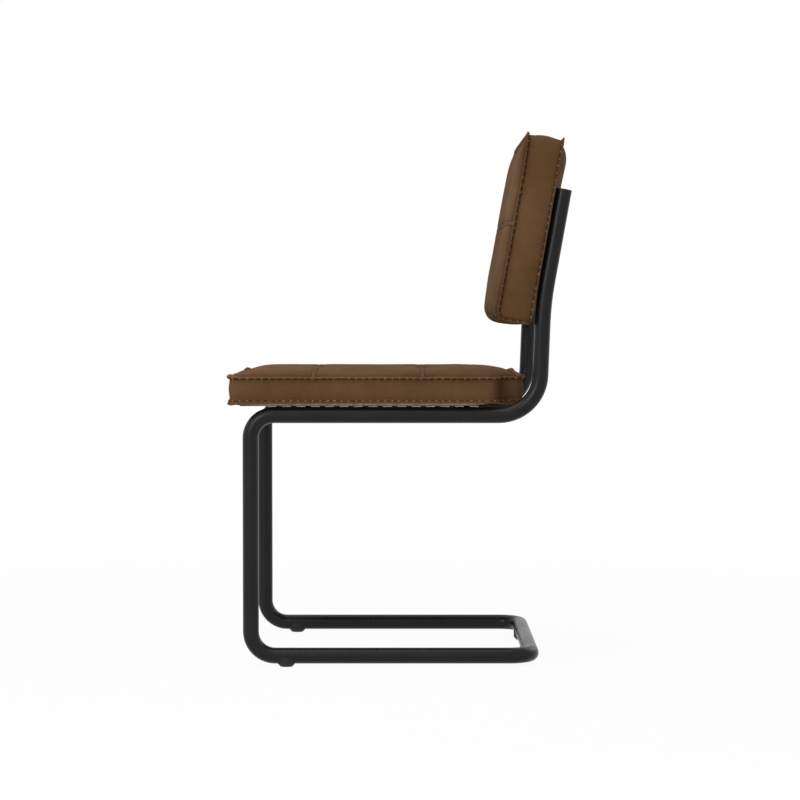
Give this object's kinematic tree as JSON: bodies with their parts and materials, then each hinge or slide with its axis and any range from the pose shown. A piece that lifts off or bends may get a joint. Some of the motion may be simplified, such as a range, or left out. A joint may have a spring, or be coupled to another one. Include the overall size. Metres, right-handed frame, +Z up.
{
  "type": "cantilever dining chair",
  "caption": "Cantilever dining chair: a satin black bent steel tube frame carrying boxed brown leather seat and back pads with sewn flange seams.",
  "frame": {"origin": "on the floor, at the middle of the chair's width and depth", "axes": "+X to the sitter's left, +Y to the rear, +Z up; the seat's open front faces -Y"},
  "size_m": [0.461, 0.549, 0.8514],
  "materials": {
    "black_frame": "satin",
    "brown_leather": "semi-matt",
    "black_plastic": "matt",
    "zinc_steel": "bright zinc",
    "black_bolts": "black oxide",
    "plywood": "raw",
    "foam": "open cell",
    "wadding": "fibre",
    "dust_cover_cloth": "non-woven cloth"
  },
  "bodies": {
    "root": {"back_board": "plywood", "back_bolts": "black_bolts", "back_foam": "foam", "back_front_patch_lower_centre": "brown_leather", "back_front_patch_lower_left": "brown_leather", "back_front_patch_lower_right": "brown_leather", "back_front_patch_upper_centre": "brown_leather", "back_front_patch_upper_left": "brown_leather", "back_front_patch_upper_right": "brown_leather", "back_rear_patch_lower_centre": "brown_leather", "back_rear_patch_lower_left": "brown_leather", "back_rear_patch_lower_right": "brown_leather", "back_rear_patch_upper_centre": "brown_leather", "back_rear_patch_upper_left": "brown_leather", "back_rear_patch_upper_right": "brown_leather", "back_side_band": "brown_leather", "back_tab_lower_left": "black_frame", "back_tab_lower_right": "black_frame", "back_tab_upper_left": "black_frame", "back_tab_upper_right": "black_frame", "back_tee_nuts": "zinc_steel", "back_wadding": "wadding", "back_washers": "black_bolts", "front_glide_left": "black_plastic", "front_glide_right": "black_plastic", "glide_screws": "zinc_steel", "rear_floor_bar": "black_frame", "rear_glide_left": "black_plastic", "rear_glide_right": "black_plastic", "seat_board": "plywood", "seat_bolts": "black_bolts", "seat_bottom_panel": "brown_leather", "seat_dust_cover": "dust_cover_cloth", "seat_foam": "foam", "seat_patch_front_centre": "brown_leather", "seat_patch_front_left": "brown_leather", "seat_patch_front_right": "brown_leather", "seat_patch_middle_centre": "brown_leather", "seat_patch_middle_left": "brown_leather", "seat_patch_middle_right": "brown_leather", "seat_patch_rear_centre": "brown_leather", "seat_patch_rear_left": "brown_leather", "seat_patch_rear_right": "brown_leather", "seat_side_band": "brown_leather", "seat_spacers": "black_plastic", "seat_staples": "zinc_steel", "seat_strap_front": "black_frame", "seat_strap_rear": "black_frame", "seat_tee_nuts": "zinc_steel", "seat_washers": "black_bolts", "side_tube_left": "black_frame", "side_tube_right": "black_frame", "upright_cap_left": "black_plastic", "upright_cap_right": "black_plastic"}
  },
  "joints": []
}
